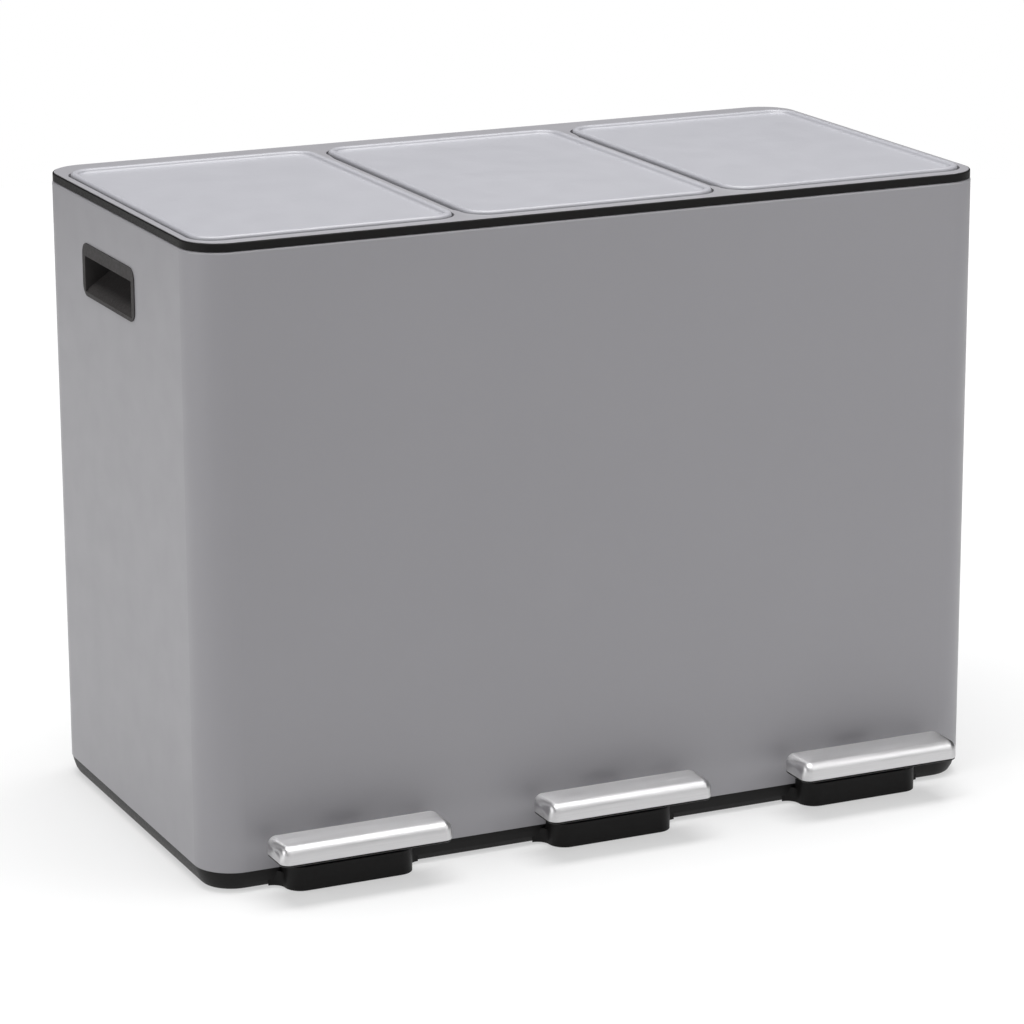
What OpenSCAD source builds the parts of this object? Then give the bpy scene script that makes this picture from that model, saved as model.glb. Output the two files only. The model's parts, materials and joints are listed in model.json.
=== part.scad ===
// Three-compartment pedal bin for sorted household waste.
// One painted steel casing holds three lift-out buckets. Each pedal tips a lever in the base,
// the lever lifts a push rod behind the buckets, and the rod swings its own lid open.
// Millimetres. +X runs along the casing, -Y is the front with the pedals, +Z is up.
// The origin is the middle of the footprint, on the floor.

/* [Casing] */
// Width of the casing over its side faces
body_w = 600; // [596:1:620]
// Depth of the casing, front face to back face
body_d = 310; // [310:1:314]
// Radius of the casing's four upright corners
body_r = 28; // [26:1:32]
// Thickness of the wrapped steel sheet
shell_t = 1; // [0.8:0.1:1.2]
// Height of the casing's lower edge above the floor
shell_z0 = 15; // [14.5:0.1:15.5]
// Height of the casing's rolled upper edge
shell_z1 = 447; // [446.8:0.1:447]

/* [Lids] */
// Width of one lid
lid_w = 188.4; // [188:0.1:188.6]
// Depth of one lid, front to back
lid_d = 271.2; // [271:0.1:271.4]
// Plan radius of a lid's corners
lid_r = 18; // [16:1:20]
// Spacing of the lids along the casing
lid_pitch = 197.8; // [197.6:0.1:198]
// Gap round each lid
lid_gap = 1.6; // [1.5:0.1:1.6]
// Width of the frame strip in front of the lids
front_strip = 10.8; // [10.6:0.1:10.8]

/* [Pedals] */
// Spacing of the pedals along the casing
pedal_pitch = 200; // [199:0.5:201]
// How far the pedals stand out in front of the casing
pedal_reach = 45; // [44.5:0.5:46]
// Width of a pedal cap
pedal_w = 127; // [124:1:128]
// Depth of a pedal cap
pedal_d = 34; // [33.5:0.5:34]
// Height of the top of a pedal cap above the floor
pedal_top = 45; // [45:0.1:45.2]

/* [Side grips] */
// Width of a grip's flange, along the casing's side
grip_w = 106; // [100:1:110]
// Height of a grip's flange
grip_h = 38; // [38:0.5:39]
// Height of the middle of a grip above the floor
grip_z = 396.3; // [395:0.1:396.5]

/* [Buckets] */
// Outside width of a bucket over its rim
bucket_w = 170; // [164:1:170]
// Outside depth of a bucket over its rim
bucket_d = 225; // [218:1:226]
// Wall of a bucket
bucket_t = 1.8; // [1.6:0.1:2.2]

/* [Hidden] */
$fn = 64;
BAYS = [1, 2, 3];

// Colours
PAINT = [0.53, 0.53, 0.55];
LID_PAINT = [0.68, 0.68, 0.70];
PLASTIC = [0.05, 0.05, 0.05];
STEEL = [0.72, 0.72, 0.73];
RUBBER = [0.09, 0.09, 0.09];

// The casing stands behind the origin, so that pedals and screw heads share one footprint
screw_head = 1.5;
body_y = (pedal_reach - screw_head) / 2;
front_y = -body_d / 2;
back_y = body_d / 2;

// Screws in the casing's back
screw_xs = [-240, 0, 240];
screw_zs = [35, 430];

// Levels
base_z = 1.5;
floor_z = 6;
deck_z = 50;
deck_t = 2.5;
band_top = 452.6;
frame_z0 = 451.9;
frame_z1 = 452.9;
bar_t = 1;
panel_z = 452.4;
crest_z = 455;
plate_z0 = 444;
collar_z0 = 418;

// Hand grips
grip_y = 14.7;

// Lids and hinges
lid_front = front_y + front_strip + lid_gap;
lid_back = lid_front + lid_d;
lid_y = (lid_front + lid_back) / 2;
skin_t = 1;
skin_z0 = 449.5;
rim_r = 2.6;
rim_fall = panel_z - crest_z;
hinge_y = lid_back - 16;
hinge_z = 447;
pin_r = 2;
hub_r = 3.5;
ear_x = 60;
ear_t = 2;
pin_len = 144;
rib_t = 8;

// Collar openings
bay_w = 182;
bay_front = lid_front + 1.1;
bay_back = lid_back + 3.9;
bay_d = bay_back - bay_front;
bay_y = (bay_front + bay_back) / 2;
bay_r = 14;
ledge_z = hinge_z - 20;

// Pedal mechanism
cap_front = front_y - pedal_reach;
cap_y = cap_front + pedal_d / 2;
cap_r = 7;
cap_edge_r = 6;
cap_t = 1.2;
cap_z0 = pedal_top - 13;
frame_rim = 1.5;
rear_cut = 98;
pivot_y = -65;
pivot_z = 18;
axle_r = 3;
bush_r = 4.5;
run_fit = 0.05;
strip_t = 3;
lever_w = 30;
lever_tail_w = 16;
hub_z = 21.5;
tail_z = 13;
arm_z = 32;
tongue_z = pedal_top - 6.9;
gate_w = 90;
gate_z1 = 38;
slot_w = 36;
slot_z0 = 16;
slot_z1 = 36.2;
rail_x = 22;
rail_t = 2.5;
boss_r = 7;

rivet_x = 10;
rivet_y = cap_y - 2;

// Foot boxes under the pedals
box_w = 94;
box_front = front_y - 17.5;
box_r = 12;
box_z1 = 18.5;
box_t = 2.5;
fillet_r = 9;

// Push rods
rod_y = hinge_y - 14.2;
rod_r = 2.5;
tip_r = 4;
tip_z = hinge_z - 17.65;
foot_r = 5;
foot_gap = 0.3;
foot_rest = tail_z + 8 * (hub_z - tail_z) / (rod_y + 22 - pivot_y);
foot_z = foot_rest + strip_t + foot_gap + foot_r;
guide_zs = [90, 396];
guide_h = 12;
stop_ring_z = 340;
stop_ring_h = 4;
wire_r = 0.9;
coil_r = 4.8;
coil_turns = 7;

// Rear partition and buckets
part_y = rod_y - 11.7;
part_t = 2;
part_z1 = 427;
part_z0 = collar_z0 - 0.5;
bucket_y = -27;
bucket_r = 20;
bucket_z1 = 434;
bucket_draft = 6;
bucket_lip = 5;
end_shift = 4.8;

// ---------- shared shapes ----------

// Place of bay i (1, 2, 3) along the casing for a given pitch
function bay_x(i, pitch) = (i - 2) * pitch;

// Place of bucket i: the end buckets stand inboard, clear of the grip pockets
function bucket_x(i) = (i - 2) * (lid_pitch - end_shift);

// Points on an arc about c from angle a0 to a1
function arc(c, r, a0, a1, n = 8) =
  [for (k = [0:n]) c + r * [cos(a0 + (a1 - a0) * k / n), sin(a0 + (a1 - a0) * k / n)]];

// Moves a part from the casing's own centre to its place over the origin
module placed(x = 0, y = 0, z = 0) {
  translate([x, body_y + y, z]) children();
}

module rounded(w, d, r) {
  square([w - 2 * r, d], center = true);
  square([w, d - 2 * r], center = true);
  for (sx = [-1, 1], sy = [-1, 1])
    translate([sx * (w / 2 - r), sy * (d / 2 - r)]) circle(r = r);
}

module plate(w, d, r, z0, z1) {
  translate([0, 0, z0]) linear_extrude(height = z1 - z0) rounded(w, d, r);
}

// Sweeps a profile round a rounded rectangle. The profile's x = 0 lies on the outline and
// negative x points inwards; its y is height.
module ring(w, d, r) {
  for (turn = [0, 180]) rotate(turn) {
    translate([w / 2, 0, 0]) rotate([90, 0, 0])
      linear_extrude(height = d - 2 * r, center = true) children();
    translate([0, d / 2, 0]) rotate([90, 0, 90])
      linear_extrude(height = w - 2 * r, center = true) children();
    translate([w / 2 - r, d / 2 - r, 0])
      rotate_extrude(angle = 90) translate([r, 0]) children();
    translate([r - w / 2, d / 2 - r, 0]) rotate([0, 0, 90])
      rotate_extrude(angle = 90) translate([r, 0]) children();
  }
}

// Extrudes a side outline, given in Y and Z, across X
module side_cut(t) {
  rotate([90, 0, 90]) linear_extrude(height = t, center = true) children();
}

module rod_x(r, len) {
  rotate([0, 90, 0]) cylinder(r = r, h = len, center = true);
}

// Coil spring about +Z from z = 0, swept along its own helix
module coil(mean_r, wire, height, turns, per_turn = 14, sides = 6) {
  n = turns * per_turn;
  points = [
    for (k = [0:n], s = [0:sides - 1])
      let (a = 360 * k / per_turn, b = 360 * s / sides, rr = mean_r + wire * cos(b))
        [rr * cos(a), rr * sin(a), wire + (height - 2 * wire) * k / n + wire * sin(b)]
  ];
  walls = [
    for (k = [0:n - 1], s = [0:sides - 1])
      let (s1 = (s + 1) % sides)
        [k * sides + s, k * sides + s1, (k + 1) * sides + s1, (k + 1) * sides + s]
  ];
  first = [for (s = [0:sides - 1]) sides - 1 - s];
  last = [for (s = [0:sides - 1]) n * sides + s];
  polyhedron(points, concat([first], walls, [last]));
}

// ---------- casing ----------

// Wrapped steel sheet: open tube with a rolled upper edge and an inward flange under the band
module body_shell() {
  roll = 2;
  flange = 7;
  window_w = grip_w - 5;
  window_h = grip_h - 2;
  color(PAINT) placed() difference() {
    union() {
      ring(body_w, body_d, body_r)
        polygon([[0, shell_z0], [0, shell_z1 - roll], [-shell_t, shell_z1 - roll], [-shell_t, shell_z0]]);
      ring(body_w, body_d, body_r) polygon(concat(
        arc([-roll, shell_z1 - roll], roll, 0, 90),
        [[-flange, shell_z1], [-flange, shell_z1 - shell_t]],
        arc([-roll, shell_z1 - roll], roll - shell_t, 90, 0)
      ));
    }
    translate([0, grip_y, grip_z]) rotate([90, 0, 90])
      linear_extrude(height = body_w + 10, center = true) rounded(window_w, window_h, 7);
    for (i = BAYS)
      translate([bay_x(i, pedal_pitch) - gate_w / 2, front_y - 5, shell_z0 - 5])
        cube([gate_w, 10, gate_z1 + 5 - shell_z0]);
    for (x = screw_xs, z = screw_zs)
      translate([x, back_y, z]) rotate([90, 0, 0]) cylinder(r = 2.2, h = 8, center = true);
  }
}

// Moulded base: visible skirt, upstand inside the steel, floor, foot boxes, lever rails
module base_tray() {
  upstand = shell_t + 0.3;
  color(PLASTIC) placed() difference() {
    union() {
      ring(body_w, body_d, body_r) polygon([
        [-0.5, shell_z0], [-1.2, 11], [-2.8, 6], [-5, base_z + 0.8], [-6, base_z],
        [-10, base_z], [-10, shell_z0 - 3], [-upstand - 2.5, shell_z0],
        [-upstand - 2.5, 60], [-upstand, 60], [-upstand, shell_z0]
      ]);
      plate(body_w - 12, body_d - 12, body_r - 6, floor_z - 2.5, floor_z);
      for (i = BAYS) translate([bay_x(i, pedal_pitch), 0, 0]) {
        foot_box();
        lever_rails();
        gate_frame();
      }
    }
    for (i = BAYS) translate([bay_x(i, pedal_pitch), 0, 0]) {
      translate([-slot_w / 2, front_y - 1, slot_z0]) cube([slot_w, 12, slot_z1 - slot_z0]);
      translate([0, pivot_y, pivot_z]) rod_x(axle_r + run_fit, 80);
    }
    for (x = screw_xs)
      translate([x, back_y, screw_zs[0]]) rotate([90, 0, 0]) cylinder(r = 1.9, h = 14, center = true);
  }
}

// Open tray that stands out under a pedal; its flanks run into the skirt with a fillet
module foot_box() {
  root_y = front_y + 7;
  module outline(inset) {
    translate([0, (box_front + root_y) / 2 + box_r / 2])
      rounded(box_w - 2 * inset, root_y - box_front + box_r - 2 * inset, box_r - inset);
  }
  module before(y) {
    intersection() {
      children();
      translate([-box_w, -body_d]) square([2 * box_w, body_d + y]);
    }
  }
  translate([0, 0, base_z]) linear_extrude(height = 2.5) before(root_y) outline(0);
  translate([0, 0, base_z]) linear_extrude(height = shell_z0 - base_z) difference() {
    before(root_y) outline(0);
    before(front_y - 0.5) outline(box_t);
  }
  translate([0, 0, shell_z0]) linear_extrude(height = box_z1 - shell_z0) before(front_y - 0.5)
    difference() {
      outline(0);
      outline(box_t);
    }
  for (s = [-1, 1]) translate([s * (box_w / 2 + fillet_r), front_y + 3 - fillet_r, base_z])
    linear_extrude(height = shell_z0 - base_z - 3) difference() {
      translate([s * -fillet_r / 2, fillet_r / 2]) square([fillet_r, fillet_r], center = true);
      circle(r = fillet_r);
    }
}

// Two rails under each bucket: they carry the deck and the pedal axle
module lever_rails() {
  front = front_y + 5;
  back = part_y - 3;
  for (s = [-1, 1]) translate([s * rail_x, 0, 0]) {
    translate([-rail_t / 2, front, floor_z - 1])
      cube([rail_t, back - front, deck_z - deck_t - floor_z + 1]);
    translate([0, pivot_y, pivot_z]) rod_x(boss_r, rail_t + 5);
  }
}

// Plastic surround that closes the casing's pedal notch
module gate_frame() {
  translate([0, front_y + 2, (shell_z0 + gate_z1) / 2 - 1.15])
    cube([gate_w - 0.6, 4, gate_z1 - shell_z0 + 1.7], center = true);
}

// False floor that the buckets stand on
module bucket_deck() {
  w = body_w - 10;
  y0 = front_y + 6;
  y1 = part_y - 1;
  color(PLASTIC) placed() {
    translate([0, (y0 + y1) / 2, 0]) plate(w, y1 - y0, body_r - 6, deck_z - deck_t, deck_z);
    for (s = [-1, 1], y = [-110, -75, 20, 60]) translate([s * 96.5 - 1, y, deck_z]) cube([2, 16, 6]);
  }
}

// Black band and the moulding under the lids
module top_collar() {
  wall_z0 = collar_z0 + 5;
  color(PLASTIC) placed() difference() {
    union() {
      ring(body_w, body_d, body_r) polygon([
        [-0.4, shell_z1], [-0.4, band_top - 0.6], [-0.8, band_top], [-1.2, band_top],
        [-1.2, frame_z0], [-5.2, frame_z0], [-5.2, shell_z1 + 2], [-9.2, shell_z1],
        [-9.8, shell_z1], [-9.8, collar_z0], [-7.3, collar_z0], [-7.3, shell_z1]
      ]);
      difference() {
        plate(body_w - 16, body_d - 16, body_r - 8, plate_z0, shell_z1);
        for (i = BAYS) translate([bay_x(i, lid_pitch), bay_y, 0])
          plate(bay_w, bay_d, bay_r, plate_z0 - 1, shell_z1 + 1);
      }
      for (i = BAYS) translate([bay_x(i, lid_pitch), bay_y, 0])
        difference() {
          plate(bay_w + 4, bay_d + 4, bay_r + 2, wall_z0, shell_z1);
          plate(bay_w, bay_d, bay_r, wall_z0 - 1, shell_z1 + 1);
        }
      for (i = BAYS) translate([bay_x(i, lid_pitch), 0, 0]) hinge_ledge();
      for (s = [-1, 1]) translate([s * lid_pitch / 2 - 1.5, lid_y - lid_d / 2, shell_z1 - 1])
        cube([3, lid_d, frame_z0 - bar_t - shell_z1 + 1]);
      translate([0, bay_back + 9, (shell_z1 + frame_z0) / 2 - 0.5])
        cube([body_w - 60, 12, frame_z0 - shell_z1 + 1], center = true);
    }
    for (x = screw_xs)
      translate([x, back_y, screw_zs[1]]) rotate([90, 0, 0]) cylinder(r = 1.9, h = 24, center = true);
    for (i = BAYS) translate([bay_x(i, lid_pitch), 0, 0]) {
      for (s = [-1, 1]) translate([s * (ear_x + 9), hinge_y + 4, ledge_z - 6]) cylinder(r = 1.6, h = 12);
      swing_recess();
    }
  }
}

// Room for the lid's rear edge, which dips behind the hinge as the lid opens
module swing_recess() {
  y0 = hinge_y - 3;
  translate([0, (y0 + bay_back) / 2, 0])
    plate(lid_w + 2, bay_back - y0, 6, ledge_z, skin_z0 + 0.7);
}

module hinge_ledge() {
  translate([0, (hinge_y - 6 + bay_back) / 2 + 0.5, ledge_z - 1.5])
    cube([bay_w + 2, bay_back - hinge_y + 7, 3], center = true);
}

// Painted trim with the three lid openings, a turned-down edge round each, and sunken bars
// between the lids
module top_frame() {
  inset = 1.4;
  open_w = lid_w + 2 * lid_gap;
  open_d = lid_d + 2 * lid_gap;
  bar_w = lid_pitch - open_w;
  bar_end = lid_d / 2 - 20;
  ramp = 10;
  module at_bay(i) {
    translate([bay_x(i, lid_pitch), lid_y, 0]) children();
  }
  module at_bar() {
    for (s = [-1, 1]) translate([s * lid_pitch / 2, lid_y, 0]) children();
  }
  color(PAINT) placed() {
    difference() {
      union() {
        plate(body_w - 2 * inset, body_d - 2 * inset, body_r - inset, frame_z0, frame_z1);
        for (i = BAYS) at_bay(i)
          plate(open_w + 1.6, open_d + 1.6, lid_r + lid_gap + 0.8, frame_z0 - 3, frame_z0 + 0.5);
      }
      for (i = BAYS) at_bay(i) plate(open_w, open_d, lid_r + lid_gap, frame_z0 - 4, frame_z1 + 1);
      at_bar() side_cut(bar_w + 0.4) polygon([
        [-bar_end, frame_z1], [ramp - bar_end, frame_z0], [bar_end - ramp, frame_z0],
        [bar_end, frame_z1], [bar_end, frame_z1 + 1], [-bar_end, frame_z1 + 1]
      ]);
    }
    at_bar() translate([0, 0, frame_z0 - bar_t / 2]) cube([bar_w, 2 * bar_end, bar_t], center = true);
  }
}

// Inner wall between the buckets and the rods, with two guides for each rod
module rear_partition() {
  w = body_w - 12;
  color(PLASTIC) placed() difference() {
    union() {
      translate([-w / 2, part_y, deck_z - deck_t]) cube([w, part_t, part_z0 - deck_z + deck_t]);
      for (i = BAYS) translate([bay_x(i, lid_pitch) - bay_w / 2 + 1, part_y, part_z0 - 1])
        cube([bay_w - 2, part_t, part_z1 - part_z0 + 1]);
      for (i = BAYS, z = guide_zs)
        translate([bay_x(i, pedal_pitch) - 7, part_y + 1, z]) cube([14, rod_y - part_y + 6, guide_h]);
      for (i = BAYS, s = [-1, 1])
        translate([bay_x(i, pedal_pitch) + s * 60 - 1, part_y + 1, deck_z])
          cube([2, 9, part_z1 - deck_z]);
    }
    for (i = BAYS) translate([bay_x(i, pedal_pitch), rod_y, 60])
      cylinder(r = rod_r + 0.08, h = 380);
  }
}

// Recessed hand grip. Side is -1 on the left and 1 on the right.
module grip(side) {
  proud = 0.8;
  depth = 22;
  mouth_w = grip_w - 11;
  pocket_w = grip_w - 7;
  pocket_h = grip_h - 3;
  mouth_z0 = grip_z - grip_h / 2 + 3;
  mouth_z1 = grip_z + grip_h / 2 - 9.4;
  color(PLASTIC) placed() scale([side, 1, 1]) translate([body_w / 2, grip_y, 0]) difference() {
    union() {
      translate([proud / 2, 0, grip_z]) rotate([90, 0, 90])
        linear_extrude(height = proud, center = true) rounded(grip_w, grip_h, 8.5);
      translate([(proud - depth) / 2, 0, grip_z]) rotate([90, 0, 90])
        linear_extrude(height = depth + proud, center = true) rounded(pocket_w, pocket_h, 6.5);
    }
    rotate([90, 0, 0]) linear_extrude(height = mouth_w, center = true) polygon([
      [2, mouth_z0], [0, mouth_z0], [-2, mouth_z0 + 2.5], [2 - depth, mouth_z0 + 15],
      [2 - depth, grip_z + pocket_h / 2 - 2], [-3, grip_z + pocket_h / 2 - 2], [-3, mouth_z1],
      [2, mouth_z1]
    ]);
  }
}

module grip_left() {
  grip(-1);
}

module grip_right() {
  grip(1);
}

module rubber_feet() {
  color(RUBBER) placed() for (x = [-262, 0, 262], y = [-118, 118]) translate([x, y, 0])
    cylinder(r = 9, h = floor_z - 2.5);
}

// Pan-head screws that hold the casing's back to the base and the collar
module shell_screws() {
  color(STEEL) placed() for (x = screw_xs, z = screw_zs) translate([x, back_y, z])
    rotate([-90, 0, 0]) {
      difference() {
        cylinder(r = 4, h = screw_head);
        for (turn = [0, 90]) rotate(turn) translate([0, 0, screw_head]) cube([4.4, 1, 1.4], center = true);
      }
      translate([0, 0, -6]) cylinder(r = 1.8, h = 6);
    }
}

// Rubber buttons that the closed lids rest on
module lid_buffers() {
  color(RUBBER) placed() for (i = BAYS, s = [-1, 1])
    translate([bay_x(i, lid_pitch) + s * 91.5, lid_front + 60, shell_z1]) cylinder(r = 1.4, h = 2);
}

// Rubber blocks under the levers that end the pedals' travel
module pedal_stops() {
  color(RUBBER) placed() for (i = BAYS)
    translate([bay_x(i, pedal_pitch), pivot_y - 65, floor_z]) cylinder(r = 7, h = 15.3);
}

// ---------- lids ----------

// Folded steel brackets that carry the hinge pin of one lid
module hinge_bracket(i) {
  ear = [
    [11, -20], [11, -18], [1, -16], [0, -6], [2.6, -2.2], [-2.6, 0.4], [-6, -8], [-6, -20]
  ];
  color(STEEL) placed(bay_x(i, lid_pitch), hinge_y, hinge_z) for (s = [-1, 1]) difference() {
    union() {
      translate([s * ear_x, 0, 0]) {
        side_cut(ear_t) polygon(ear);
        rod_x(hub_r, ear_t);
      }
      translate([s * (ear_x + 7), 2.5, -19]) cube([16, 17, 2], center = true);
    }
    translate([s * ear_x, 0, 0]) rod_x(pin_r + run_fit, 10);
    translate([s * (ear_x + 9), 4, -24]) cylinder(r = 2, h = 10);
  }
}

module hinge_pin(i) {
  color(STEEL) placed(bay_x(i, lid_pitch), hinge_y, hinge_z) rod_x(pin_r, pin_len);
}

module bracket_screws() {
  color(STEEL) placed() for (i = BAYS, s = [-1, 1])
    translate([bay_x(i, lid_pitch) + s * (ear_x + 9), hinge_y + 4, ledge_z + 2]) {
      cylinder(r = 3, h = 1.5);
      translate([0, 0, -7]) cylinder(r = 1.5, h = 7);
    }
}

// Pressed steel lid: rolled rim round a sunken panel
module lid_skin(i) {
  soft = 2.5;
  turn = acos(1 + rim_fall / (2 * soft));
  crest_c = [-rim_r - 0.6, crest_z - soft];
  foot_c = crest_c + [-2 * soft * sin(turn), 2 * soft * cos(turn)];
  inner = foot_c[0];
  rim = concat(
    [[-skin_t, skin_z0], [0, skin_z0]],
    arc([-rim_r, crest_z - rim_r], rim_r, 0, 90),
    arc(crest_c, soft, 90, 90 + turn),
    arc(foot_c, soft, turn - 90, -90),
    [[inner, panel_z - skin_t]],
    arc(foot_c, soft + skin_t, -90, turn - 90),
    arc(crest_c, soft - skin_t, 90 + turn, 90),
    arc([-rim_r, crest_z - rim_r], rim_r - skin_t, 90, 0)
  );
  color(LID_PAINT) placed(bay_x(i, lid_pitch), lid_y) {
    ring(lid_w, lid_d, lid_r) polygon(rim);
    plate(lid_w + 2 * inner, lid_d + 2 * inner, lid_r + inner, panel_z - skin_t, panel_z);
  }
}

// Plastic inner lid with a skirt, hinge knuckles and the cam rib that the rod pushes
module lid_liner(i) {
  plate_z = skin_z0 - 0.3;
  fit = skin_t + 0.3;
  skirt = 8;
  skirt_back = hinge_y - 26;
  rib_x = bay_x(i, pedal_pitch) - bay_x(i, lid_pitch);
  color(PLASTIC) placed(bay_x(i, lid_pitch)) difference() {
    union() {
      translate([0, lid_y, 0]) plate(lid_w - 2 * fit, lid_d - 2 * fit, lid_r - fit, plate_z, plate_z + 1.6);
      intersection() {
        translate([0, lid_y, 0]) ring(lid_w - 2 * skirt, lid_d - 2 * skirt, lid_r - skirt)
          polygon([[0, plate_z - 4], [0, plate_z + 0.5], [-1.6, plate_z + 0.5], [-1.6, plate_z - 4]]);
        translate([-lid_w, -body_d, 0]) cube([2 * lid_w, body_d + skirt_back, crest_z]);
      }
      translate([0, hinge_y, hinge_z]) {
        for (s = [-1, 1], x = [-5.2, 5.2]) translate([s * ear_x + x, 0, 0]) {
          rod_x(hub_r, 6);
          translate([-3, -hub_r, 0]) cube([6, 2 * hub_r, plate_z - hinge_z + 0.5]);
        }
        translate([rib_x, 0, 0]) cam_rib();
      }
    }
    translate([0, hinge_y, hinge_z]) {
      rod_x(pin_r + run_fit, pin_len + 40);
      for (s = [-1, 1]) translate([s * ear_x, 0, 3]) cube([ear_t + 2.4, 20, 8], center = true);
    }
  }
}

// The rib's lower edge lies on a line through the hinge axis, 40 degrees below level when shut
module cam_rib() {
  slope = 40;
  near = 6;
  far = 27;
  top = skin_z0 - hinge_z;
  side_cut(rib_t) polygon([
    [-near * cos(slope), -near * sin(slope)], [-near * cos(slope), top],
    [-far * cos(slope) - 1.5, top], [-far * cos(slope) - 1.5, 2 - far * sin(slope)],
    [-far * cos(slope), -far * sin(slope)]
  ]);
}

// ---------- pedals ----------

// Brushed steel cap: crowned shell, open below and cut away at the rear
module pedal_cap(i) {
  flat_z = pedal_top - cap_edge_r;
  color(STEEL) placed(bay_x(i, pedal_pitch)) difference() {
    translate([0, cap_y, 0]) {
      ring(pedal_w, pedal_d, cap_r) polygon(concat(
        [[-cap_t, cap_z0], [0, cap_z0]],
        arc([-cap_edge_r, flat_z], cap_edge_r, 0, 90),
        arc([-cap_edge_r, flat_z], cap_edge_r - cap_t, 90, 0)
      ));
      plate(pedal_w - 2 * cap_edge_r, pedal_d - 2 * cap_edge_r, cap_r - cap_edge_r, pedal_top - cap_t, pedal_top);
    }
    rear_notch(cap_z0 - 1, pedal_top - 3.5);
  }
}

module rear_notch(z0, z1) {
  translate([-rear_cut / 2, cap_y + pedal_d / 2 - 6, z0]) cube([rear_cut, 12, z1 - z0]);
}

// Plastic carrier inside the cap; its lower rim shows as a dark edge
module pedal_frame(i) {
  z0 = cap_z0 - frame_rim;
  web_z = pedal_top - 3.8;
  color(PLASTIC) placed(bay_x(i, pedal_pitch)) difference() {
    translate([0, cap_y, 0]) {
      ring(pedal_w, pedal_d, cap_r) polygon([
        [-0.4, z0 + 0.6], [-1, z0], [-4, z0], [-4, web_z + 0.2], [-2, web_z + 0.2],
        [-2, cap_z0 - 0.1], [-0.4, cap_z0 - 0.1]
      ]);
      plate(pedal_w - 6.6, pedal_d - 6.6, cap_r - 3.3, web_z, web_z + 1.7);
    }
    rear_notch(z0 - 1, web_z);
    for (x = [-rivet_x, rivet_x]) translate([x, rivet_y, web_z - 2]) cylinder(r = 2, h = 4);
  }
}

module pedal_rivets(i) {
  color(STEEL) placed(bay_x(i, pedal_pitch)) for (x = [-rivet_x, rivet_x]) translate([x, rivet_y, 0]) {
    translate([0, 0, tongue_z - 1]) cylinder(r = 3.4, h = 1);
    translate([0, 0, tongue_z - 1]) cylinder(r = 1.9, h = 5.7);
  }
}

// Steel lever: a long strip with a barrel at the pivot and a raised tongue under the cap
module pedal_lever(i) {
  top = [
    [rod_y + 8, tail_z], [pivot_y - 14, hub_z], [pivot_y - 42, arm_z], [front_y - 4, arm_z],
    [front_y - 10, tongue_z], [cap_front + 9, tongue_z]
  ];
  lifted = [for (k = [len(top) - 1:-1:0]) top[k] + [0, strip_t]];
  color(STEEL) placed(bay_x(i, pedal_pitch)) difference() {
    union() {
      intersection() {
        side_cut(lever_w) polygon(concat(top, lifted));
        union() {
          translate([-lever_w / 2, -body_d, 0]) cube([lever_w, body_d + pivot_y + 10, 60]);
          translate([-lever_tail_w / 2, pivot_y, 0]) cube([lever_tail_w, body_d, 60]);
        }
      }
      translate([0, pivot_y, pivot_z]) rod_x(bush_r + 1.5, lever_w);
    }
    translate([0, pivot_y, pivot_z]) rod_x(bush_r, lever_w + 10);
    for (x = [-rivet_x, rivet_x]) translate([x, rivet_y, tongue_z - 1]) cylinder(r = 2, h = strip_t + 2);
  }
}

module lever_bush(i) {
  color(PLASTIC) placed(bay_x(i, pedal_pitch), pivot_y, pivot_z) difference() {
    union() {
      rod_x(bush_r, lever_w);
      for (s = [-1, 1]) translate([s * (lever_w / 2 + 0.5), 0, 0]) rod_x(bush_r + 1.2, 1);
    }
    rod_x(axle_r + run_fit, lever_w + 10);
  }
}

module pedal_axle(i) {
  color(STEEL) placed(bay_x(i, pedal_pitch), pivot_y, pivot_z) rod_x(axle_r, 2 * rail_x + 10);
}

// ---------- push rods ----------

module push_rod(i) {
  color(STEEL) placed(bay_x(i, pedal_pitch), rod_y, foot_z + 1) cylinder(r = rod_r, h = tip_z - foot_z - 2);
}

// Plastic ball ends: the foot stands on the lever and the tip pushes the cam rib
module rod_tips(i) {
  neck = 8;
  color(PLASTIC) placed(bay_x(i, pedal_pitch), rod_y) {
    difference() {
      union() {
        translate([0, 0, tip_z]) sphere(r = tip_r);
        translate([0, 0, tip_z - neck]) cylinder(r = tip_r, h = neck);
      }
      translate([0, 0, tip_z - neck - 1]) cylinder(r = rod_r, h = neck);
    }
    difference() {
      union() {
        translate([0, 0, foot_z]) sphere(r = foot_r);
        translate([0, 0, foot_z]) cylinder(r = foot_r, h = neck);
      }
      translate([0, 0, foot_z + 1]) cylinder(r = rod_r, h = neck);
    }
  }
}

module rod_collar(i) {
  color(STEEL) placed(bay_x(i, pedal_pitch), rod_y, stop_ring_z) difference() {
    cylinder(r = 6.5, h = stop_ring_h);
    translate([0, 0, -1]) cylinder(r = rod_r, h = stop_ring_h + 2);
  }
}

// Pushes the rod back down when the pedal is let go
module return_spring(i) {
  z0 = stop_ring_z + stop_ring_h;
  color(STEEL) placed(bay_x(i, pedal_pitch), rod_y, z0)
    coil(coil_r, wire_r, guide_zs[1] - z0, coil_turns);
}

// ---------- buckets ----------

// Lift-out bucket with drafted walls and a turned-over rim
module bucket(i) {
  low = -bucket_lip - bucket_draft;
  color(PLASTIC) placed(bucket_x(i), bucket_y) {
    ring(bucket_w, bucket_d, bucket_r) polygon([
      [0, bucket_z1 - 6], [0, bucket_z1], [-bucket_lip - bucket_t, bucket_z1],
      [low - bucket_t, deck_z], [low, deck_z], [-bucket_lip, bucket_z1 - bucket_t],
      [-bucket_t, bucket_z1 - bucket_t], [-bucket_t, bucket_z1 - 6]
    ]);
    plate(bucket_w + 2 * low, bucket_d + 2 * low, bucket_r + low, deck_z, deck_z + 2.5);
  }
}

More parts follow.
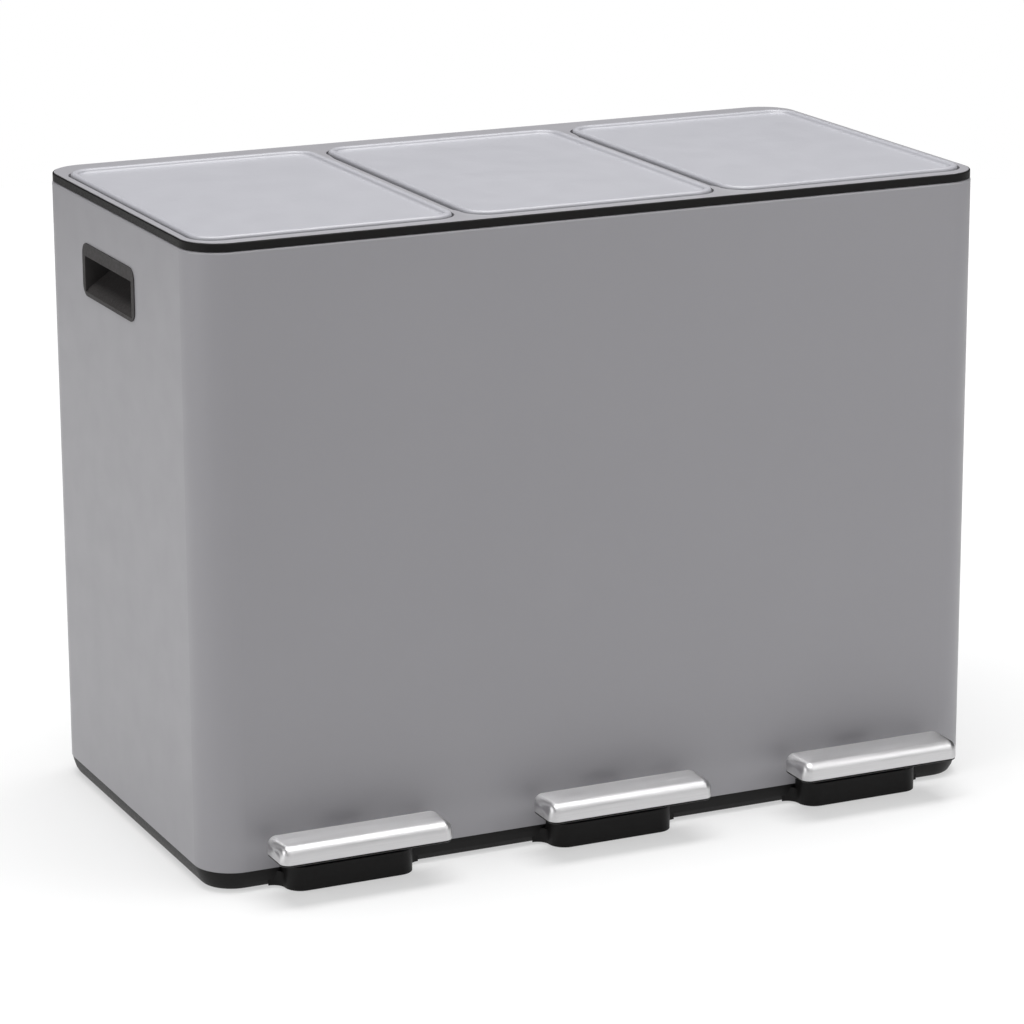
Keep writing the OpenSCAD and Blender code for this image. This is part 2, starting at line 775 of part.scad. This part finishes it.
body_shell();
base_tray();
bucket_deck();
top_collar();
top_frame();
rear_partition();
grip_left();
grip_right();
rubber_feet();
shell_screws();
lid_buffers();
pedal_stops();
bracket_screws();
for (i = BAYS) {
  bucket(i);
  hinge_bracket(i);
  hinge_pin(i);
  lid_skin(i);
  lid_liner(i);
  pedal_cap(i);
  pedal_frame(i);
  pedal_lever(i);
  lever_bush(i);
  pedal_axle(i);
  pedal_rivets(i);
  push_rod(i);
  rod_tips(i);
  rod_collar(i);
  return_spring(i);
}
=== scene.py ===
"""Looks of a three-compartment pedal bin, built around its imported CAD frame."""

import json
import math

import bmesh
import bpy
from mathutils import Matrix, Vector


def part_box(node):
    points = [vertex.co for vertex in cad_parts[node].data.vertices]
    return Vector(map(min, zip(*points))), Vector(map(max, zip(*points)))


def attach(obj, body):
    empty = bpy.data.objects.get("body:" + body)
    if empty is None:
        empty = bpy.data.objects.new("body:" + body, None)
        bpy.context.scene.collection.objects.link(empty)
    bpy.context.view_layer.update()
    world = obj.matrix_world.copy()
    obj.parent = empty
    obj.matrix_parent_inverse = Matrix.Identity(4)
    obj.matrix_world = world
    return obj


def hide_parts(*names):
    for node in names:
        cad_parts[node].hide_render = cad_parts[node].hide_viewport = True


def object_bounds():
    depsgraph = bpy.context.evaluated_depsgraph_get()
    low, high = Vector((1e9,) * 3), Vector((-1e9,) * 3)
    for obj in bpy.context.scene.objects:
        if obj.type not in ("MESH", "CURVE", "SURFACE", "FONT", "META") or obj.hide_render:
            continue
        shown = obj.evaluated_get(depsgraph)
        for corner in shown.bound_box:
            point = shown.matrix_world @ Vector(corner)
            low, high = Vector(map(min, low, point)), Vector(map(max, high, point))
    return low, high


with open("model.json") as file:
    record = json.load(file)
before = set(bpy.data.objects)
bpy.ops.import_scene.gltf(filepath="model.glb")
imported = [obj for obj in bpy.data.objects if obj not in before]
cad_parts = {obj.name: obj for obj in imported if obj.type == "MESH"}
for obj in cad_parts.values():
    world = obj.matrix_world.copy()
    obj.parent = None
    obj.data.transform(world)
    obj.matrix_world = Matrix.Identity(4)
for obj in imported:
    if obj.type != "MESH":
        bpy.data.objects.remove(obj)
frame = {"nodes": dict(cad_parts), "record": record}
cad_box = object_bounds()

MM = 0.001
BAYS = (1, 2, 3)

# Most of a noise's values lie between these two
NOISE_LOW, NOISE_HIGH = 0.3, 0.7

# Softened mouldings: the bevel's segments, the smallest angle of an edge that it rounds, and
# the angle under which neighbouring faces of the CAD mesh count as one
BEVEL_SEGMENTS = 3
SHARP_EDGE = math.radians(28)
SAME_FACE = math.radians(0.3)
WELD = 0.002 * MM
NORMAL_WEIGHT = 60

# Pressed steel cap of a pedal
CAP_EDGE = 6.4 * MM  # rounding between the sides and the top
CAP_CORNER = 7 * MM  # radius of the corners in plan
CAP_WALL = 1.2 * MM
CAP_CROWN = 0.35 * MM  # rise of the middle of the top over its rounded edge
CAP_RIM = 0.35 * MM  # how far the lower rim turns in
CAP_WELD = 0.01 * MM
ARC_STEPS = 10
SMALLEST_RADIUS = 0.2 * MM

# Cutout at the rear of a cap
NOTCH_WIDTH = 98 * MM
NOTCH_DEPTH = 12 * MM
NOTCH_BELOW = 1 * MM  # how far the cutter starts below the cap
NOTCH_ROOF = 3.5 * MM  # steel left above the cutout

# Stage
FLOOR_RADIUS = 2.4
FLOOR_SIDES = 96
SENSOR_WIDTH = 36
scene = bpy.context.scene
nodes = frame["nodes"]


# ---------- materials ----------

class Finish:
    """A material on a Principled shader, with short calls for the nodes that feed it."""

    def __init__(self, name, base, roughness, metallic=0.0, **sockets):
        self.material = bpy.data.materials.new(name)
        self.material.use_nodes = True
        self.tree = self.material.node_tree
        self.shader = self.tree.nodes["Principled BSDF"]
        self.base = base
        self.shader.inputs["Base Color"].default_value = (*base, 1)
        self.shader.inputs["Roughness"].default_value = roughness
        self.shader.inputs["Metallic"].default_value = metallic
        for socket, value in sockets.items():
            self.shader.inputs[socket.replace("_", " ")].default_value = value
        self.place = self.tree.nodes.new("ShaderNodeTexCoord").outputs["Object"]
        self.height = None

    def node(self, kind, links=(), **values):
        """A new node; links holds a source or a plain value for each input."""
        made = self.tree.nodes.new("ShaderNode" + kind)
        for key, value in values.items():
            setattr(made, key, value)
        for socket, source in dict(links).items():
            if isinstance(source, bpy.types.NodeSocket):
                self.tree.links.new(source, made.inputs[socket])
            else:
                made.inputs[socket].default_value = source
        return made

    def noise(self, scale, detail=2.0, stretch=(1, 1, 1)):
        spread = self.node("Mapping", {"Vector": self.place, "Scale": stretch})
        return self.node(
            "TexNoise", {"Vector": spread.outputs[0], "Scale": scale, "Detail": detail}
        ).outputs["Fac"]

    def ranged(self, source, low, high, from_low=NOISE_LOW, from_high=NOISE_HIGH):
        return self.node("MapRange", {
            "Value": source, "From Min": from_low, "From Max": from_high,
            "To Min": low, "To Max": high,
        }).outputs["Result"]

    def tint(self, source, amount):
        """Varies the base colour by +-amount with a 0..1 source."""
        ramp = self.node("ValToRGB", {"Fac": source})
        for stop, factor in zip(ramp.color_ramp.elements, (1 - amount, 1 + amount)):
            stop.color = (*(min(1, c * factor) for c in self.base), 1)
        ramp.color_ramp.elements[0].position = NOISE_LOW
        ramp.color_ramp.elements[1].position = NOISE_HIGH
        self.tree.links.new(ramp.outputs["Color"], self.shader.inputs["Base Color"])

    def rough(self, source, low, high):
        self.tree.links.new(self.ranged(source, low, high), self.shader.inputs["Roughness"])

    def bump(self, source, depth, strength=1.0):
        links = {"Height": source, "Distance": depth, "Strength": strength}
        if self.height is not None:
            links["Normal"] = self.height
        self.height = self.node("Bump", links).outputs["Normal"]
        self.tree.links.new(self.height, self.shader.inputs["Normal"])


def paint(name, base, roughness):
    """Satin powder coat: fine orange peel over a smooth sheet."""
    made = Finish(name, base, roughness, Coat_Weight=0.05, Coat_Roughness=0.3)
    made.tint(made.noise(scale=5), amount=0.012)
    made.rough(made.noise(scale=40, detail=4), roughness - 0.03, roughness + 0.04)
    made.bump(made.noise(scale=1100, detail=3), depth=0.03 * MM, strength=0.3)
    return made.material


def moulded(name, base, roughness, grain=1400, shine=0.5):
    """Moulded plastic with a fine spark-eroded grain."""
    made = Finish(name, base, roughness, Specular_IOR_Level=shine)
    made.tint(made.noise(scale=60, detail=3), amount=0.12)
    made.rough(made.noise(scale=grain / 2), roughness - 0.07, roughness + 0.08)
    made.bump(made.noise(scale=grain), depth=0.04 * MM, strength=0.6)
    return made.material


def brushed(name, base, roughness):
    """Steel with brush marks along X, which spread its reflections across them."""
    made = Finish(name, base, roughness, metallic=1.0, Anisotropic=0.8)
    marks = made.noise(scale=1400, detail=3, stretch=(0.012, 1, 1))
    made.tint(marks, amount=0.05)
    made.rough(marks, roughness - 0.05, roughness + 0.07)
    made.bump(marks, depth=0.006 * MM, strength=0.4)
    across = made.node("Tangent", direction_type="RADIAL", axis="X")
    made.tree.links.new(across.outputs[0], made.shader.inputs["Tangent"])
    return made.material


def plated(name, base, roughness):
    """Zinc plate or ground steel: cloudy, slightly spangled."""
    made = Finish(name, base, roughness, metallic=1.0)
    made.tint(made.noise(scale=180, detail=4), amount=0.12)
    made.rough(made.noise(scale=90, detail=4), roughness - 0.08, roughness + 0.12)
    made.bump(made.noise(scale=700), depth=0.02 * MM, strength=0.3)
    return made.material


FINISHES = {
    "casing_paint": paint("casing_paint", (0.285, 0.28, 0.297), 0.4),
    "lid_paint": paint("lid_paint", (0.29, 0.29, 0.312), 0.44),
    "trim_paint": paint("trim_paint", (0.225, 0.222, 0.236), 0.44),
    "black_plastic": moulded("black_plastic", (0.0045, 0.004, 0.004), 0.45, shine=0.2),
    "grip_plastic": moulded("grip_plastic", (0.035, 0.032, 0.032), 0.6, grain=1000, shine=0.3),
    "bucket_plastic": moulded("bucket_plastic", (0.045, 0.045, 0.05), 0.45, grain=900),
    "brushed_steel": brushed("brushed_steel", (0.65, 0.645, 0.652), 0.4),
    "zinc_steel": plated("zinc_steel", (0.55, 0.55, 0.56), 0.38),
    "bright_steel": plated("bright_steel", (0.7, 0.7, 0.71), 0.22),
    "bush_plastic": moulded("bush_plastic", (0.62, 0.61, 0.58), 0.4),
    "rubber": moulded("rubber", (0.03, 0.03, 0.03), 0.8, grain=2200),
}


def slot_of(node):
    return next(p["material_slot"] for p in frame["record"]["subparts"] if p["node"] == node)


def body_of(node):
    bodies = frame["record"]["behaviour"]["bodies"]
    return next(body for body, held in bodies.items() if node in held)


for name, cad in nodes.items():
    for slot in cad.material_slots:
        slot.material = FINISHES[slot_of(name)]


# ---------- softened mouldings ----------

def add(name, data):
    made = bpy.data.objects.new(name, data)
    scene.collection.objects.link(made)
    return made


def weigh_normals(made):
    """Shades large faces flat and leaves the bending to the narrow ones."""
    made.modifiers.new("shading", "WEIGHTED_NORMAL").weight = NORMAL_WEIGHT


def softened(name, width):
    """Puts a copy of a CAD node, with its sharp edges rounded, in place of the node."""
    cad = nodes[name]
    mesh = cad.data.copy()
    shape = bmesh.new()
    shape.from_mesh(mesh)
    bmesh.ops.remove_doubles(shape, verts=shape.verts, dist=WELD)
    bmesh.ops.dissolve_limit(
        shape, angle_limit=SAME_FACE, verts=shape.verts, edges=shape.edges,
    )
    for face in shape.faces:
        face.smooth = True
    shape.to_mesh(mesh)
    shape.free()
    for extra in [a.name for a in mesh.attributes if a.name == "custom_normal"]:
        mesh.attributes.remove(mesh.attributes[extra])
    mesh.materials.clear()
    mesh.materials.append(FINISHES[slot_of(name)])
    made = add(name + "_soft", mesh)
    edges = made.modifiers.new("edges", "BEVEL")
    edges.width = width * MM
    edges.segments = BEVEL_SEGMENTS
    edges.limit_method = "ANGLE"
    edges.angle_limit = SHARP_EDGE
    weigh_normals(made)
    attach(made, body_of(name))
    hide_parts(name)


softened("top_frame", width=0.45)
softened("base_tray", width=0.8)
for side in ("left", "right"):
    softened("grip_" + side, width=1.2)


# ---------- pedal caps ----------

def outline(low, high, inset):
    """Points round a rounded rectangle, always the same number of them."""
    r = max(CAP_CORNER - inset, SMALLEST_RADIUS)
    points = []
    for turn, (sx, sy) in enumerate(((1, 1), (-1, 1), (-1, -1), (1, -1))):
        cx = (high.x - inset - r) if sx > 0 else (low.x + inset + r)
        cy = (high.y - inset - r) if sy > 0 else (low.y + inset + r)
        for k in range(ARC_STEPS + 1):
            a = math.pi / 2 * (turn + k / ARC_STEPS)
            points.append((cx + r * math.cos(a), cy + r * math.sin(a)))
    return points


def lofted(shape, levels, low, high):
    """Joins rounded outlines, given as (inset, height), and closes the last one."""
    rings = [
        [shape.verts.new((x, y, z)) for x, y in outline(low, high, inset)]
        for inset, z in levels
    ]
    for a, b in zip(rings, rings[1:]):
        for k in range(len(a)):
            shape.faces.new((a[k - 1], a[k], b[k], b[k - 1]))
    shape.faces.new(rings[-1])


def notched(made, low, high):
    """Cuts the rear of a cap away, where the lever passes."""
    mesh = bpy.data.meshes.new("notch")
    shape = bmesh.new()
    bmesh.ops.create_cube(shape, size=1.0)
    shape.to_mesh(mesh)
    shape.free()
    cutter = add("notch", mesh)
    bottom, roof = low.z - NOTCH_BELOW, high.z - NOTCH_ROOF
    cutter.scale = (NOTCH_WIDTH, NOTCH_DEPTH, roof - bottom)
    cutter.location = ((low.x + high.x) / 2, high.y, (bottom + roof) / 2)
    cut = made.modifiers.new("notch", "BOOLEAN")
    cut.object = cutter
    cut.solver = "EXACT"
    bpy.context.view_layer.update()
    cut_cap = made.evaluated_get(bpy.context.evaluated_depsgraph_get())
    result = bpy.data.meshes.new_from_object(cut_cap)
    made.modifiers.clear()
    made.data = result
    bpy.data.objects.remove(cutter)


def arc_levels(inset, radius, centre_z):
    """Levels of a quarter round that starts upright at the inset and ends level."""
    turns = [math.pi / 2 * k / ARC_STEPS for k in range(ARC_STEPS + 1)]
    return [
        (inset + radius * (1 - math.cos(t)), centre_z + radius * math.sin(t)) for t in turns
    ]


def pedal_cap(i):
    """Puts a pressed steel shell with a crowned top in place of the CAD node of a cap."""
    name = f"pedal_cap_{i}"
    low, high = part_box(name)
    top = high.z - CAP_CROWN
    rim = (CAP_RIM, low.z)
    outer = [rim, (0.0, low.z + 0.5 * MM)]
    outer += arc_levels(0.0, CAP_EDGE, top - CAP_EDGE)
    outer += [(CAP_EDGE + 5 * MM, top + 0.75 * CAP_CROWN), (CAP_EDGE + 9.5 * MM, high.z)]
    inner = [rim, (CAP_WALL, low.z + 0.3 * MM)]
    inner += arc_levels(CAP_WALL, CAP_EDGE - CAP_WALL, top - CAP_EDGE)
    shape = bmesh.new()
    lofted(shape, outer, low, high)
    lofted(shape, inner, low, high)
    bmesh.ops.remove_doubles(shape, verts=shape.verts, dist=CAP_WELD)
    bmesh.ops.recalc_face_normals(shape, faces=shape.faces)
    for face in shape.faces:
        face.smooth = True
    mesh = bpy.data.meshes.new(name + "_pressed")
    shape.to_mesh(mesh)
    shape.free()
    mesh.materials.append(FINISHES["brushed_steel"])
    made = add(name + "_pressed", mesh)
    notched(made, low, high)
    weigh_normals(made)
    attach(made, f"pedal_{i}")
    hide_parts(name)


for i in BAYS:
    pedal_cap(i)


# ---------- stage, light and camera ----------

def floor():
    """A pale disc whose glow grows with distance, to meet the white of the sky."""
    mesh = bpy.data.meshes.new("floor")
    turns = [2 * math.pi * k / FLOOR_SIDES for k in range(FLOOR_SIDES)]
    rim = [(FLOOR_RADIUS * math.cos(t), FLOOR_RADIUS * math.sin(t), 0) for t in turns]
    mesh.from_pydata(rim, [], [tuple(range(FLOOR_SIDES))])
    made = Finish("floor", (0.35, 0.35, 0.35), 0.9, Emission_Color=(1, 1, 1, 1))
    away = made.node("VectorMath", {"Vector": made.place}, operation="LENGTH").outputs["Value"]
    glow = made.ranged(away, 0.52, 0.85, from_low=0.7, from_high=2.2)
    made.tree.links.new(glow, made.shader.inputs["Emission Strength"])
    made.tint(made.noise(scale=0.8), amount=0.004)
    mesh.materials.append(made.material)
    add("floor", mesh)


def sky(seen, light):
    """A white world with one strength for the camera and another for everything else."""
    world = bpy.data.worlds.new("studio")
    scene.world = world
    world.use_nodes = True
    tree = world.node_tree
    tree.nodes.clear()
    out = tree.nodes.new("ShaderNodeOutputWorld")
    mix = tree.nodes.new("ShaderNodeMixShader")
    path = tree.nodes.new("ShaderNodeLightPath")
    for index, strength in ((1, light), (2, seen)):
        ground = tree.nodes.new("ShaderNodeBackground")
        ground.inputs["Strength"].default_value = strength
        ground.inputs["Color"].default_value = (1, 1, 1, 1)
        tree.links.new(ground.outputs[0], mix.inputs[index])
    tree.links.new(path.outputs["Is Camera Ray"], mix.inputs[0])
    tree.links.new(mix.outputs[0], out.inputs[0])


def softbox(name, place, size, power, target):
    """A rectangular lamp that faces the target; power in watts."""
    lamp = bpy.data.lights.new(name, "AREA")
    lamp.shape = "RECTANGLE"
    lamp.size, lamp.size_y = size
    lamp.energy = power
    made = add(name, lamp)
    made.location = place
    made.rotation_euler = (target - Vector(place)).to_track_quat("-Z", "Y").to_euler()


def camera(target, azimuth, elevation, roll, distance, lens):
    """A camera that looks at the target; angles in degrees, azimuth from -Y towards +X."""
    a, e, t = (math.radians(v) for v in (azimuth, elevation, roll))
    back = Vector((math.sin(a) * math.cos(e), -math.cos(a) * math.cos(e), math.sin(e)))
    level = Vector((math.cos(a), math.sin(a), 0))
    rise = back.cross(level)
    right = level * math.cos(t) + rise * math.sin(t)
    up = rise * math.cos(t) - level * math.sin(t)
    data = bpy.data.cameras.new("camera")
    data.lens = lens
    data.sensor_width = SENSOR_WIDTH
    data.clip_start, data.clip_end = 0.05, 60
    made = add("camera", data)
    turn = Matrix((right, up, back)).transposed().to_4x4()
    made.matrix_world = Matrix.Translation(target + back * distance) @ turn
    scene.camera = made


scene.view_settings.view_transform = "Standard"
low, high = cad_box
middle = (low + high) / 2
floor()
sky(seen=1.0, light=0.05)
softbox("top_light", (0.0, 0.1, 2.6), (2.6, 1.8), 114, middle)
softbox("left_light", (-2.6, -0.4, 1.2), (1.6, 1.6), 23, middle)
softbox("right_light", (0.9, -0.95, 0.85), (0.5, 0.6), 2.6, middle)
softbox("fore_light", (0.2, -1.5, 1.7), (2.4, 2.0), 13, middle)
camera(
    target=Vector((middle.x - 0.5 * MM, middle.y + 21.7 * MM, 198.8 * MM)),
    azimuth=-24.758, elevation=15.492, roll=-0.256, distance=2.9778, lens=143.2,
)
